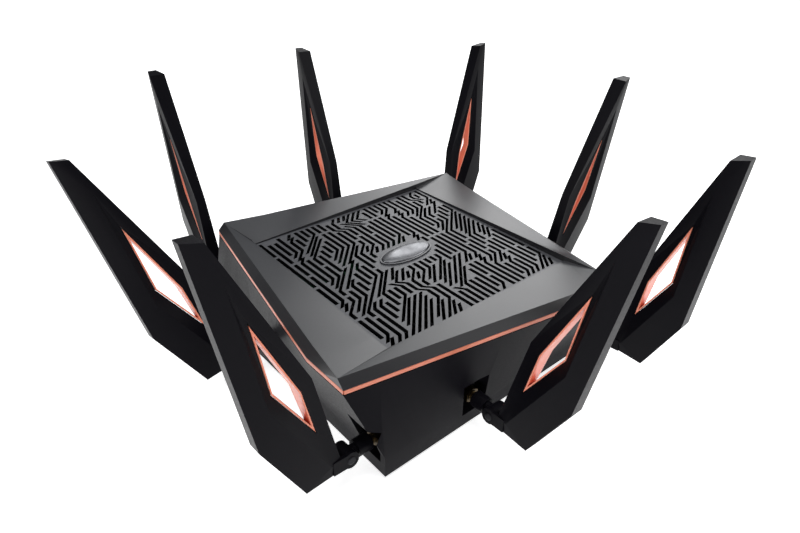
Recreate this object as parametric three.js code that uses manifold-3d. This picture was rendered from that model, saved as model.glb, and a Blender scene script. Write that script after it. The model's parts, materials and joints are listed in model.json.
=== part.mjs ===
// Wireless router with a square body, a pinwheel top cover around a sunken vent grille, and eight
// hinged antennas. Millimetres, +Z up, floor at z = 0. The front faces -Y and the left side -X.
import * as THREE from 'three';
import { mergeVertices } from 'three/addons/utils/BufferGeometryUtils.js';
import Module from 'manifold-3d';

const wasm = await Module();
wasm.setup();

// ---- Driving dimensions -------------------------------------------------------------------------
const BODY_WIDTH = 240;            // across the flats of the rim
const BODY_HEIGHT = 70.7;          // floor to the outer edge of the top panels
const GRILLE_WIDTH = 160.6;        // side of the sunken square grille
const BLADE_LENGTH = 160;          // antenna hinge to antenna tip
const BLADE_THICKNESS = 14;        // antenna at its thickest, on the ridge beside the window
const WALL = 2.4;                  // moulded wall thickness
const GAP = 0.3;                   // clearance between pieces that touch
const PIN_DIAMETER = 4;            // hinge pin moulded on the knuckle
const JACK_DIAMETER = 6.2;         // threaded antenna jack
const TRIM_WALL = 0.9;             // copper lining of each antenna window
const SWIVEL_LEAN = [4.9, -3.4, -0.5, 9.8, -3.2, 0, -14.1, -5.1];   // resting sideways lean, degrees
const BLADE_TILT = [-1, -3.4, 2.7, -0.3, 0.2, 0.7, 2.1, -1.9];       // resting outward tilt, degrees

// ---- Derived dimensions -------------------------------------------------------------------------
const half = BODY_WIDTH / 2;
const cornerAlong = half * 0.735;              // where each rim corner stands along its side
const bendAlong = half * 0.4375;               // where each long rim facet ends
const panelCorner = half * 0.692;              // same corner on the edge of the top panel
const baseHalf = half * 0.871;                 // straight skirt at the bottom
const footHeight = 1.2;
const skirtTop = BODY_HEIGHT * 0.233;
const housingTop = BODY_HEIGHT - 8.9;
const coverBottom = housingTop + GAP;
const rimTop = coverBottom + 3.4;
const grilleHalf = GRILLE_WIDTH / 2;
const grilleTop = BODY_HEIGHT - 4.1;
const grilleThickness = 2.4;
const boardHalf = baseHalf - 16.5;
const boardBottom = 10;
const boardTop = boardBottom + 1.6;
const jackHeight = 20;                         // height of every antenna jack and hinge
const hingeOut = half + 2;                     // hinge distance from the middle of the body
const antennaAlong = [-half * 0.263, half * 0.749];
const pocketDepth = baseHalf - 8.5;

// ---- Materials ----------------------------------------------------------------------------------
const shellBlack = new THREE.MeshStandardMaterial({ color: 0x1c1b20, roughness: 0.55, metalness: 0.0 });
const panelGrey = new THREE.MeshStandardMaterial({ color: 0x5f6164, roughness: 0.45, metalness: 0.2 });
const grilleGrey = new THREE.MeshStandardMaterial({ color: 0x6b6b6f, roughness: 0.4, metalness: 0.4 });
const copper = new THREE.MeshStandardMaterial({ color: 0xe8805f, roughness: 0.3, metalness: 0.6 });
const chrome = new THREE.MeshStandardMaterial({ color: 0xc8cacc, roughness: 0.15, metalness: 1.0 });
const brass = new THREE.MeshStandardMaterial({ color: 0xb9975b, roughness: 0.3, metalness: 1.0 });
const steel = new THREE.MeshStandardMaterial({ color: 0x9a9ca0, roughness: 0.35, metalness: 0.9 });
const rubber = new THREE.MeshStandardMaterial({ color: 0x151515, roughness: 0.9, metalness: 0.0 });
const board = new THREE.MeshStandardMaterial({ color: 0x1f4d33, roughness: 0.6, metalness: 0.0 });
const aluminium = new THREE.MeshStandardMaterial({ color: 0xa7a9ac, roughness: 0.4, metalness: 0.9 });
const diffuser = new THREE.MeshStandardMaterial({ color: 0xd8dadd, roughness: 0.4, metalness: 0.0 });
const padGrey = new THREE.MeshStandardMaterial({ color: 0x8b95a1, roughness: 0.8, metalness: 0.0 });

// ---- Small helpers ------------------------------------------------------------------------------
const group = new THREE.Group();
group.name = 'wireless_router';

// A closed mesh as a closed solid.
function solid(geometry) {
  const bare = geometry.clone();
  bare.deleteAttribute('normal');
  bare.deleteAttribute('uv');
  const merged = mergeVertices(bare, 1e-4);
  const vertProperties = new Float32Array(merged.attributes.position.array);
  const triVerts = new Uint32Array(merged.index.array);
  return new wasm.Manifold(new wasm.Mesh({ numProp: 3, vertProperties, triVerts }));
}

// A closed solid as a flat-shaded mesh.
function toGeometry(body) {
  const mesh = body.getMesh();
  const geometry = new THREE.BufferGeometry();
  geometry.setAttribute('position', new THREE.BufferAttribute(new Float32Array(mesh.vertProperties), 3));
  geometry.setIndex(new THREE.BufferAttribute(new Uint32Array(mesh.triVerts), 1));
  const flat = geometry.toNonIndexed();
  flat.computeVertexNormals();
  return flat;
}

function addPart(name, body, material) {
  const mesh = new THREE.Mesh(toGeometry(body), material);
  mesh.name = name;
  group.add(mesh);
}

function box(x0, x1, y0, y1, z0, z1) {
  const geometry = new THREE.BoxGeometry(x1 - x0, y1 - y0, z1 - z0);
  geometry.translate((x0 + x1) / 2, (y0 + y1) / 2, (z0 + z1) / 2);
  return solid(geometry);
}

// Cylinder between two positions along one axis.
function rod(axis, radius, from, to, centre = [0, 0], sides = 28) {
  const geometry = new THREE.CylinderGeometry(radius, radius, to - from, sides);
  const mid = (from + to) / 2;
  if (axis === 'x') {
    geometry.rotateZ(Math.PI / 2);
    geometry.translate(mid, centre[0], centre[1]);
  } else if (axis === 'y') {
    geometry.translate(centre[0], mid, centre[1]);
  } else {
    geometry.rotateX(Math.PI / 2);
    geometry.translate(centre[0], centre[1], mid);
  }
  return solid(geometry);
}

// Straight prism on a plan outline, with optional holes cut right through.
function prism(outline, z0, z1, holes = []) {
  const shape = new THREE.Shape(outline.map(([x, y]) => new THREE.Vector2(x, y)));
  const geometry = new THREE.ExtrudeGeometry(shape, { depth: z1 - z0, bevelEnabled: false });
  geometry.translate(0, 0, z0);
  const body = solid(geometry);
  if (holes.length === 0) {
    return body;
  }
  return body.subtract(wasm.Manifold.union(holes.map((hole) => prism(hole, z0 - 1, z1 + 1))));
}

// Closed solid from points and outward-facing triangles.
function polyhedron(points, triangles) {
  const geometry = new THREE.BufferGeometry();
  geometry.setAttribute('position', new THREE.Float32BufferAttribute(points.flat(), 3));
  geometry.setIndex(triangles.flat());
  return solid(geometry);
}

// Solid lofted through loops with the same number of points; every loop is flat and convex enough
// to be closed by a fan from its centre.
function loft(loops) {
  const count = loops[0].length;
  const points = loops.flat();
  const triangles = [];
  for (let level = 0; level + 1 < loops.length; level += 1) {
    for (let i = 0; i < count; i += 1) {
      const a = level * count + i;
      const b = level * count + ((i + 1) % count);
      triangles.push([a, b, b + count], [a, b + count, a + count]);
    }
  }
  const centre = (loop) => [0, 1, 2].map((k) => loop.reduce((sum, p) => sum + p[k], 0) / count);
  const low = points.push(centre(loops[0])) - 1;
  const high = points.push(centre(loops[loops.length - 1])) - 1;
  const last = (loops.length - 1) * count;
  for (let i = 0; i < count; i += 1) {
    const j = (i + 1) % count;
    triangles.push([low, j, i], [high, last + i, last + j]);
  }
  return polyhedron(points, triangles);
}

const mix = (a, b, t) => a.map((value, k) => value + (b[k] - value) * t);
const quarter = ([x, y, ...rest], turns) => {
  const points = [[x, y], [-y, x], [-x, -y], [y, -x]];
  return [...points[((turns % 4) + 4) % 4], ...rest];
};

// ---- Body outlines ------------------------------------------------------------------------------
// Each side runs from its corner to its bend, then on to the next corner. The four sides repeat by
// quarter turns, which gives the pinwheel its twist.
const LONG_STEPS = 8;
const SHORT_STEPS = 2;

function sideLoop(corner, bend, inset = 0) {
  const loop = [];
  for (let side = 0; side < 4; side += 1) {
    const start = quarter(corner(side), side);
    const middle = quarter(bend(side), side);
    const end = quarter(corner(side + 1), side + 1);
    for (let i = 0; i < LONG_STEPS; i += 1) {
      loop.push(mix(start, middle, i / LONG_STEPS));
    }
    for (let i = 0; i < SHORT_STEPS; i += 1) {
      loop.push(mix(middle, end, i / SHORT_STEPS));
    }
  }
  const shrink = (half - inset) / half;
  return loop.map(([x, y, z]) => [x * shrink, y * shrink, z]);
}

const rimLoop = (z, inset = 0) => sideLoop(
  () => [-half, -cornerAlong, z],
  () => [bendAlong, -half, z],
  inset,
);
const baseLoop = (z, inset = 0) => sideLoop(
  () => [-baseHalf, -baseHalf, z],
  () => [bendAlong, -baseHalf, z],
  inset * half / baseHalf,
);

// The right-hand corner of the panels is cut back; the other three come to a point.
function panelCornerPoint(side) {
  if (side % 4 === 1) {
    return [-half * 0.875, -half * 0.714, BODY_HEIGHT - 2];
  }
  return [-half, -panelCorner, BODY_HEIGHT];
}
const panelBendPoint = () => [half * 0.413, -half * 0.949, BODY_HEIGHT - 1];

// Solid under the four panels: rim below, panel edge above, and panels that each fall from a high
// inner corner to a low one, so a step shows between neighbours.
function coverSolid() {
  const bottom = rimLoop(coverBottom);
  const shoulder = rimLoop(rimTop);
  const edge = sideLoop(panelCornerPoint, panelBendPoint);
  const count = bottom.length;
  const perSide = LONG_STEPS + SHORT_STEPS;
  const points = [...bottom, ...shoulder, ...edge];
  const triangles = [];
  for (let level = 0; level < 2; level += 1) {
    for (let i = 0; i < count; i += 1) {
      const a = level * count + i;
      const b = level * count + ((i + 1) % count);
      triangles.push([a, b, b + count], [a, b + count, a + count]);
    }
  }
  const highInner = BODY_HEIGHT + 0.4;
  const lowInner = BODY_HEIGHT - 3.4;
  const inner = [];
  for (let side = 0; side < 4; side += 1) {
    const start = quarter([-grilleHalf, -grilleHalf, highInner], side);
    const end = quarter([-grilleHalf, -grilleHalf, lowInner], side + 1);
    const row = [];
    for (let i = 0; i <= perSide; i += 1) {
      row.push(points.push(mix(start, end, i / perSide)) - 1);
    }
    inner.push(row);
  }
  const floor = points.push([0, 0, coverBottom]) - 1;
  const crown = points.push([0, 0, grilleTop]) - 1;
  for (let side = 0; side < 4; side += 1) {
    const row = inner[side];
    const next = inner[(side + 1) % 4];
    for (let i = 0; i < perSide; i += 1) {
      const a = 2 * count + side * perSide + i;
      const b = 2 * count + ((side * perSide + i + 1) % count);
      triangles.push([a, b, row[i + 1]], [a, row[i + 1], row[i]]);
      triangles.push([row[i], row[i + 1], crown]);
    }
    const corner = 2 * count + (((side + 1) * perSide) % count);
    triangles.push([row[perSide], corner, next[0]], [row[perSide], next[0], crown]);
  }
  for (let i = 0; i < count; i += 1) {
    triangles.push([floor, (i + 1) % count, i]);
  }
  return polyhedron(points, triangles);
}

// ---- Accent strips ------------------------------------------------------------------------------
const stripDepth = 2;
const stripHeight = 2.9;
const plan = (loop) => loop.map(([x, y]) => [x, y]);
const cornerFront = [-half, -cornerAlong];
const cornerLeft = [-cornerAlong, half];
const stripEnd = [half * 0.289, -half * 0.964];
const reach = (p, k) => [p[0] * k, p[1] * k];
// Wedges that pick out stretches of the rim; the groove takes in both strips and a little more.
const frontMask = [[0, 0], reach(cornerFront, 1.3), [-half, -half * 1.4], reach(stripEnd, 1.3)];
const leftMask = [
  [0, 0],
  reach(cornerLeft, 1.3),
  [-half * 1.4, half],
  [-half * 1.4, -half],
  reach(cornerFront, 1.3),
];
const grooveMask = [
  [0, 0],
  reach([cornerLeft[0] + 3 * GAP, cornerLeft[1]], 1.3),
  [-half * 1.4, half],
  [-half * 1.4, -half * 1.4],
  reach([stripEnd[0] + 2 * GAP, stripEnd[1]], 1.3),
];

// Band that follows the rim between two insets, cut to one stretch.
function rimBand(outset, inset, z0, z1, mask, shift = [0, 0, 0]) {
  const band = prism(plan(rimLoop(0, -outset)), z0, z1)
    .subtract(prism(plan(rimLoop(0, inset)), z0 - 1, z1 + 1));
  return band.intersect(prism(mask, z0 - 1, z1 + 1).translate(shift));
}

const stripTop = coverBottom + stripHeight;
const frontStrip = rimBand(0, stripDepth, coverBottom, stripTop, frontMask, [GAP / 2, -GAP / 2, 0]);
const leftStrip = rimBand(0, stripDepth, coverBottom, stripTop, leftMask, [-GAP / 2, GAP / 2, 0]);
const stripGroove = rimBand(4, stripDepth + GAP, coverBottom - 1, stripTop + GAP, grooveMask);
addPart('accent_strip_front', frontStrip, copper);
addPart('accent_strip_left', leftStrip, copper);

// ---- Top cover ----------------------------------------------------------------------------------
const openingHalf = grilleHalf + GAP;
const ledgeHalf = grilleHalf - 3.5;
const ledgeTop = grilleTop - grilleThickness - GAP;
const underside = prism(plan(rimLoop(0, WALL + 3)), coverBottom - 1, BODY_HEIGHT - 6.4)
  .subtract(box(-openingHalf - WALL, openingHalf + WALL, -openingHalf - WALL, openingHalf + WALL, 0, 99));
const topCover = coverSolid()
  .subtract(box(-openingHalf, openingHalf, -openingHalf, openingHalf, ledgeTop, 99))
  .subtract(box(-ledgeHalf, ledgeHalf, -ledgeHalf, ledgeHalf, 0, 99))
  .subtract(underside)
  .subtract(stripGroove);
addPart('top_cover', topCover, panelGrey);

// ---- Vent grille --------------------------------------------------------------------------------
// Slots wander along a square grid: straight along Y, with 45 degree jogs that neighbours share.
const COLUMNS = 31;
const pitch = (GRILLE_WIDTH - 2.6) / COLUMNS;
const slotWidth = pitch * 0.58;
const medalHalf = [GRILLE_WIDTH * 0.133, GRILLE_WIDTH * 0.057];
const plateKeep = [medalHalf[0] + pitch * 0.9, medalHalf[1] + pitch * 0.9];

function noise(i, j, seed) {
  const value = Math.sin(i * 12.9898 + j * 78.233 + seed * 37.719) * 43758.5453;
  return value - Math.floor(value);
}

// Sideways trend of the slots in one patch of the grille: -1, 0 or 1 columns a row.
function drift(column, row) {
  const band = Math.floor((row + 2 * Math.sin(column * 0.55)) / 3);
  const patch = Math.floor((column + 2 * band) / 6);
  const pick = noise(band, patch, 3);
  if (pick < 0.12) {
    return -1;
  }
  return pick < 0.46 ? 1 : 0;
}

function slotPaths() {
  const rows = COLUMNS;
  const blocked = (c, r) => {
    const x = (c - (COLUMNS - 1) / 2) * pitch;
    const y = (r - (rows - 1) / 2) * pitch;
    return (x / plateKeep[0]) ** 2 + (y / plateKeep[1]) ** 2 < 1;
  };
  const paths = [];
  let active = [];
  for (let r = 0; r < rows; r += 1) {
    const used = new Set();
    const risen = new Set();
    const next = [];
    for (const path of active) {
      const [c] = path[path.length - 1];
      const straight = [c, r];
      const sideways = [c + drift(c, r), r];
      const longEnough = path.length > 3 + Math.floor(noise(c, path[0][1], 5) * 6);
      const crossed = sideways[0] < c && risen.has(sideways[0]);
      const open = ([x, y]) => x >= 0 && x < COLUMNS && !used.has(x) && !blocked(x, y);
      if (longEnough && noise(c, r, 7) < 0.5) {
        paths.push(path);
      } else if (open(sideways) && !crossed) {
        used.add(sideways[0]);
        if (sideways[0] > c) {
          risen.add(c);
        }
        next.push([...path, sideways]);
      } else if (open(straight) && !used.has(c)) {
        used.add(c);
        next.push([...path, straight]);
      } else {
        paths.push(path);
      }
    }
    for (let c = 0; c < COLUMNS; c += 1) {
      if (!used.has(c) && !blocked(c, r)) {
        used.add(c);
        next.push([[c, r]]);
      }
    }
    next.sort((a, b) => a[a.length - 1][0] - b[b.length - 1][0]);
    active = next;
  }
  return [...paths, ...active];
}

// Outline of one slot: its path thickened to the slot width, dropping points on straight runs.
function slotOutline(path) {
  const place = ([c, r]) => [(c - (COLUMNS - 1) / 2) * pitch, (r - (COLUMNS - 1) / 2) * pitch];
  const points = path.map(place);
  const kept = points.filter((p, i) => {
    if (i === 0 || i === points.length - 1) {
      return true;
    }
    return Math.abs((p[0] - points[i - 1][0]) - (points[i + 1][0] - p[0])) > 1e-6;
  });
  const reachY = pitch * 0.26;
  kept[0] = [kept[0][0], kept[0][1] - reachY];
  kept[kept.length - 1] = [kept[kept.length - 1][0], kept[kept.length - 1][1] + reachY];
  const left = kept.map(([x, y]) => [x - slotWidth / 2, y]);
  const right = kept.map(([x, y]) => [x + slotWidth / 2, y]).reverse();
  return [...left, ...right].reverse();
}

const slots = slotPaths().filter((path) => path.length > 1).map(slotOutline);
const plateSquare = [[-1, -1], [1, -1], [1, 1], [-1, 1]].map(([x, y]) => [x * grilleHalf, y * grilleHalf]);
addPart('vent_grille', prism(plateSquare, grilleTop - grilleThickness, grilleTop, slots), grilleGrey);

// ---- Medallion on the grille --------------------------------------------------------------------
function ovalLoop(a, b, z, sides = 40) {
  const loop = [];
  for (let i = 0; i < sides; i += 1) {
    const angle = (2 * Math.PI * i) / sides;
    loop.push([a * Math.cos(angle), b * Math.sin(angle), z]);
  }
  return loop;
}
const medalBottom = grilleTop + GAP;
const medalLoops = [
  ovalLoop(medalHalf[0], medalHalf[1], medalBottom),
  ovalLoop(medalHalf[0], medalHalf[1], medalBottom + 0.9),
  ovalLoop(medalHalf[0] - 0.7, medalHalf[1] - 0.7, medalBottom + 1.6),
  ovalLoop(medalHalf[0] - 4, medalHalf[1] - 3.2, medalBottom + 2.3),
  ovalLoop(medalHalf[0] - 9, medalHalf[1] - 6, medalBottom + 2.6),
];
addPart('grille_medallion', loft(medalLoops), chrome);
const guideInner = plan(ovalLoop(medalHalf[0] + GAP, medalHalf[1] + GAP, 0)).reverse();
const guideOuter = plan(ovalLoop(medalHalf[0] + 1.6, medalHalf[1] + 1.6, 0));
addPart('medallion_light_guide', prism(guideOuter, medalBottom, medalBottom + 0.7, [guideInner]), diffuser);

// ---- Lower housing ------------------------------------------------------------------------------
// Pocket around each antenna jack, and two bays at the rear for the sockets.
function turned(body, side) {
  return body.rotate([0, 0, 90 * side]);
}

function pocket(along, grow) {
  const ring = (y, halfWidth, z0, z1) => [
    [along - halfWidth, y, z0],
    [along + halfWidth, y, z0],
    [along + halfWidth, y, z1],
    [along - halfWidth, y, z1],
  ];
  const low = jackHeight - 9.5;
  return loft([
    ring(-pocketDepth + grow, 8.5 + grow, low - grow, jackHeight + 9 + grow),
    ring(-half - 12, 16 + grow, low - 2 - grow, jackHeight + 26 + grow),
  ]);
}

const bays = [[-half * 0.64, half * 0.155], [half * 0.355, half * 0.77]];
const bayFace = baseHalf - 6.5;
const bayBottom = boardTop - 3;
const bayTop = boardTop + 20;

let outside = loft([baseLoop(footHeight), baseLoop(skirtTop), rimLoop(housingTop)]);
let inside = loft([baseLoop(footHeight - 1, WALL), baseLoop(skirtTop, WALL), rimLoop(housingTop + 1, WALL)]);
for (let side = 0; side < 4; side += 1) {
  for (const along of antennaAlong) {
    outside = outside.subtract(turned(pocket(along, 0), side));
    inside = inside.subtract(turned(pocket(along, WALL), side));
  }
}
for (const [x0, x1] of bays) {
  outside = outside.subtract(box(x0, x1, bayFace, half + 9, bayBottom, bayTop));
  inside = inside.subtract(box(x0 - WALL, x1 + WALL, bayFace - WALL, half + 9, bayBottom - WALL, bayTop + WALL));
}
let housing = outside.subtract(inside);
for (let side = 0; side < 4; side += 1) {
  for (const along of antennaAlong) {
    const hole = rod('y', JACK_DIAMETER / 2 + GAP, -pocketDepth - 2, -pocketDepth + WALL + 2, [along, jackHeight]);
    housing = housing.subtract(turned(hole, side));
  }
}

// ---- Sockets at the rear ------------------------------------------------------------------------
const socketBottom = boardTop + GAP;
const socketFront = bayFace + 0.4;

// Socket block with a row of openings; the wall behind it gets a matching cut-out.
function socketBlock(name, x0, width, height, depth, openings, material) {
  let block = box(x0, x0 + width, socketFront - depth, socketFront, socketBottom, socketBottom + height);
  for (const [ox, oz, ow, oh] of openings) {
    const px = x0 + ox;
    const pz = socketBottom + oz;
    block = block.subtract(box(px, px + ow, socketFront - depth + 2.5, socketFront + 1, pz, pz + oh));
  }
  addPart(name, block, material);
  const cut = box(x0 - GAP, x0 + width + GAP, bayFace - WALL - 1, bayFace + 2, socketBottom - GAP, socketBottom + height + GAP);
  housing = housing.subtract(cut);
}

const networkOpening = (k) => [2 + 15.6 * k, 1.6, 11.8, 10.4];
const firstBay = bays[0][0] + 1.5;
socketBlock('lan_ports', firstBay, 62.6, 13.6, 17, [0, 1, 2, 3].map(networkOpening), steel);
socketBlock('wan_port', firstBay + 65, 15.8, 13.6, 17, [networkOpening(0)], steel);
const secondBay = bays[1][0] + 1.5;
socketBlock('fast_lan_port', secondBay, 15.8, 13.6, 17, [networkOpening(0)], steel);
socketBlock('usb_ports', secondBay + 18, 15, 15, 15, [[1.2, 1.3, 12.6, 5.2], [1.2, 8.5, 12.6, 5.2]], steel);

const dcCentre = [secondBay + 41.5, socketBottom + 5.5];
const dcBlock = box(dcCentre[0] - 5.5, dcCentre[0] + 5.5, socketFront - 13, socketFront, socketBottom, socketBottom + 11)
  .subtract(rod('y', 3.2, socketFront - 10, socketFront + 1, dcCentre))
  .add(rod('y', 1, socketFront - 11, socketFront - 1, dcCentre, 16));
addPart('dc_jack', dcBlock, shellBlack);
housing = housing.subtract(box(
  dcCentre[0] - 5.5 - GAP, dcCentre[0] + 5.5 + GAP,
  bayFace - WALL - 1, bayFace + 2,
  socketBottom - GAP, socketBottom + 11 + GAP,
));

// ---- Push buttons -------------------------------------------------------------------------------
// Round buttons press inwards through the rear bay; oblong ones through the right-hand skirt.
function rearButton(name, x, z, radius, proud) {
  const flangeFront = bayFace - WALL - GAP;
  const body = rod('y', radius, flangeFront - 1, bayFace + proud, [x, z])
    .add(rod('y', radius + 1.2, flangeFront - 1.8, flangeFront, [x, z]));
  addPart(name, body, shellBlack);
  housing = housing.subtract(rod('y', radius + GAP, bayFace - WALL - 1, bayFace + 2, [x, z]));
}
const buttonColumn = bays[0][1] - 5.5;
rearButton('power_button', buttonColumn, socketBottom + 13.2, 3.4, 1.4);
rearButton('reset_button', buttonColumn, socketBottom + 4.4, 1.5, 0.2);

const skirtMiddle = (footHeight + skirtTop) / 2 + 0.6;
const sideButtonStart = half * 0.02;
const sideButtonStep = 17;
const sideButtonHalf = [5, 2.4];
function sideButton(name, index) {
  const y = sideButtonStart + index * sideButtonStep;
  const [a, b] = sideButtonHalf;
  const flangeFront = baseHalf - WALL - GAP;
  const body = box(flangeFront - 1, baseHalf + 1, y - a, y + a, skirtMiddle - b, skirtMiddle + b)
    .add(box(flangeFront - 1.6, flangeFront, y - a - 1, y + a + 1, skirtMiddle - b - 1, skirtMiddle + b + 1));
  addPart(name, body, shellBlack);
  housing = housing.subtract(box(
    baseHalf - WALL - 1, baseHalf + 2,
    y - a - GAP, y + a + GAP,
    skirtMiddle - b - GAP, skirtMiddle + b + GAP,
  ));
}
['wps_button', 'wifi_button', 'light_button'].forEach(sideButton);

const buttonBoardX = baseHalf - WALL - GAP - 1.6 - 1.4;
const buttonBoardEnd = sideButtonStart + 2 * sideButtonStep + 10;
addPart('button_board', box(buttonBoardX - 1.2, buttonBoardX, sideButtonStart - 10, buttonBoardEnd, 4.2, 15), board);

// ---- Status lights ------------------------------------------------------------------------------
const lightStart = -half * 0.72;
const lightEnd = -half * 0.42;
const lightBar = box(baseHalf - WALL - 1, baseHalf + 0.4, lightStart, lightEnd, skirtMiddle - 1.4, skirtMiddle + 1.4);
addPart('status_light_bar', lightBar, diffuser);
housing = housing.subtract(box(
  baseHalf - WALL - 2, baseHalf + 2,
  lightStart - GAP, lightEnd + GAP,
  skirtMiddle - 1.4 - GAP, skirtMiddle + 1.4 + GAP,
));
addPart('lower_housing', housing, shellBlack);

// ---- Base cover and feet ------------------------------------------------------------------------
const coverHalf = baseHalf - WALL - GAP;
const ventSlots = [];
for (let row = -1; row <= 1; row += 2) {
  for (let k = -6; k <= 6; k += 1) {
    const x = k * 8;
    const y = row * 38;
    ventSlots.push([[x - 1.4, y - 18], [x - 1.4, y + 18], [x + 1.4, y + 18], [x + 1.4, y - 18]]);
  }
}
const coverOutline = [[-1, -1], [1, -1], [1, 1], [-1, 1]].map(([x, y]) => [x * coverHalf, y * coverHalf]);
addPart('base_cover', prism(coverOutline, footHeight, footHeight + 2.2, ventSlots), shellBlack);
const footAt = baseHalf - 20;
[[-1, -1], [1, -1], [1, 1], [-1, 1]].forEach(([sx, sy], i) => {
  const foot = rod('z', 9, 0, footHeight - GAP, [sx * footAt, sy * footAt], 36);
  addPart(`rubber_foot_${i + 1}`, foot, rubber);
});

// ---- Circuit board and cooling ------------------------------------------------------------------
const boardOutline = [[-1, -1], [1, -1], [1, 1], [-1, 1]].map(([x, y]) => [x * boardHalf, y * boardHalf]);
addPart('main_board', prism(boardOutline, boardBottom, boardTop), board);
const shieldBottom = boardTop + GAP;
const shieldTop = shieldBottom + 3.2;
addPart('rf_shield', box(-52, 52, -60, 40, shieldBottom, shieldTop), steel);
const padTop = shieldTop + GAP + 1;
addPart('thermal_pad', box(-40, 40, -48, 28, shieldTop + GAP, padTop), padGrey);
const sinkBottom = padTop + GAP;
let sink = box(-60, 60, -66, 46, sinkBottom, sinkBottom + 4);
for (let k = 0; k < 13; k += 1) {
  const x = -58.5 + (117 * k) / 12;
  sink = sink.add(box(x - 0.9, x + 0.9, -66, 46, sinkBottom + 3, sinkBottom + 24));
}
addPart('heat_sink', sink, aluminium);

// ---- Antennas -----------------------------------------------------------------------------------
// Drawn upright: X runs outwards from the hinge, Y across the thickness, Z up, hinge at the origin.
const bladeScale = BLADE_LENGTH / 160;
const thick = BLADE_THICKNESS / 14;
const bladePoint = (x, z, t) => [(x - 122) * bladeScale, (z - 20) * bladeScale, t * thick];
const bladeOutline = {
  tipIn: bladePoint(183.7, 171.9, 5.8),
  tipOut: bladePoint(193.3, 173.4, 3.2),
  knee: bladePoint(174.2, 55.3, 4.7),
  chin: bladePoint(151, 13.2, 4.6),
  heel: bladePoint(127.2, 16.6, 5.6),
  root: bladePoint(128.4, 25, 5.2),
  elbow: bladePoint(140.2, 83.4, 3.6),
};
// Ridge between the outer facets and the recess that falls to the window.
const ridgeOutline = {
  ridgeTop: bladePoint(178.6, 151.4, 6),
  ridgeLow: bladePoint(167, 77.6, 7),
  ridgeFoot: bladePoint(135.2, 23.2, 6.4),
};
const windowOutline = {
  top: bladePoint(170.4, 128.8, 4.2),
  outer: bladePoint(163.2, 84, 2.8),
  bottom: bladePoint(140.7, 48.2, 3.8),
  inner: bladePoint(147.9, 80, 5.4),
};

function bladeSolid() {
  const all = { ...bladeOutline, ...ridgeOutline, ...windowOutline };
  const names = Object.keys(all);
  const points = [];
  names.forEach((name) => points.push([all[name][0], -all[name][2], all[name][1]]));
  names.forEach((name) => points.push([all[name][0], all[name][2], all[name][1]]));
  const near = (name) => names.indexOf(name);
  const far = (name) => names.indexOf(name) + names.length;
  const faces = [
    ['tipIn', 'tipOut', 'ridgeTop'],
    ['tipOut', 'ridgeLow', 'ridgeTop'],
    ['tipOut', 'knee', 'ridgeLow'],
    ['knee', 'chin', 'ridgeLow'],
    ['chin', 'ridgeFoot', 'ridgeLow'],
    ['chin', 'heel', 'ridgeFoot'],
    ['ridgeTop', 'ridgeLow', 'outer'],
    ['ridgeTop', 'outer', 'top'],
    ['ridgeLow', 'ridgeFoot', 'bottom'],
    ['ridgeLow', 'bottom', 'outer'],
    ['elbow', 'tipIn', 'ridgeTop'],
    ['elbow', 'ridgeTop', 'top'],
    ['elbow', 'top', 'inner'],
    ['elbow', 'inner', 'bottom'],
    ['elbow', 'bottom', 'root'],
    ['root', 'bottom', 'ridgeFoot'],
    ['root', 'ridgeFoot', 'heel'],
  ];
  const triangles = [];
  for (const [a, b, c] of faces) {
    triangles.push([near(a), near(c), near(b)], [far(a), far(b), far(c)]);
  }
  const wall = (a, b) => {
    triangles.push([near(a), near(b), far(b)], [near(a), far(b), far(a)]);
  };
  const rim = Object.keys(bladeOutline);
  rim.forEach((name, i) => wall(name, rim[(i + 1) % rim.length]));
  const frame = Object.keys(windowOutline).reverse();
  frame.forEach((name, i) => wall(name, frame[(i + 1) % frame.length]));
  return polyhedron(points, triangles);
}

// Lining of the blade window: a closed frame, a hair proud of the blade on both faces.
function trimSolid() {
  const corners = Object.values(windowOutline);
  const centre = mix(mix(corners[0], corners[1], 0.5), mix(corners[2], corners[3], 0.5), 0.5);
  const offset = (distance) => corners.map((p, i) => {
    const before = corners[(i + 3) % 4];
    const after = corners[(i + 1) % 4];
    const edge = (a, b) => {
      const length = Math.hypot(b[0] - a[0], b[1] - a[1]);
      const normal = [-(b[1] - a[1]) / length, (b[0] - a[0]) / length];
      const inward = (centre[0] - a[0]) * normal[0] + (centre[1] - a[1]) * normal[1] > 0 ? 1 : -1;
      return [normal[0] * inward, normal[1] * inward];
    };
    const n1 = edge(before, p);
    const n2 = edge(p, after);
    const k = distance / (1 + n1[0] * n2[0] + n1[1] * n2[1]);
    return [p[0] + (n1[0] + n2[0]) * k, p[1] + (n1[1] + n2[1]) * k, p[2] + 0.1];
  });
  const loops = [offset(GAP), offset(GAP + TRIM_WALL)];
  const points = [];
  for (const sign of [-1, 1]) {
    for (const loop of loops) {
      loop.forEach(([x, z, t]) => points.push([x, sign * t, z]));
    }
  }
  const triangles = [];
  const quad = (a, b, c, d) => triangles.push([a, b, c], [a, c, d]);
  for (let i = 0; i < 4; i += 1) {
    const j = (i + 1) % 4;
    quad(i, 4 + i, 4 + j, j);
    quad(8 + i, 8 + j, 12 + j, 12 + i);
    quad(i, j, 8 + j, 8 + i);
    quad(4 + i, 12 + i, 12 + j, 4 + j);
  }
  return polyhedron(points, triangles);
}

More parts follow.
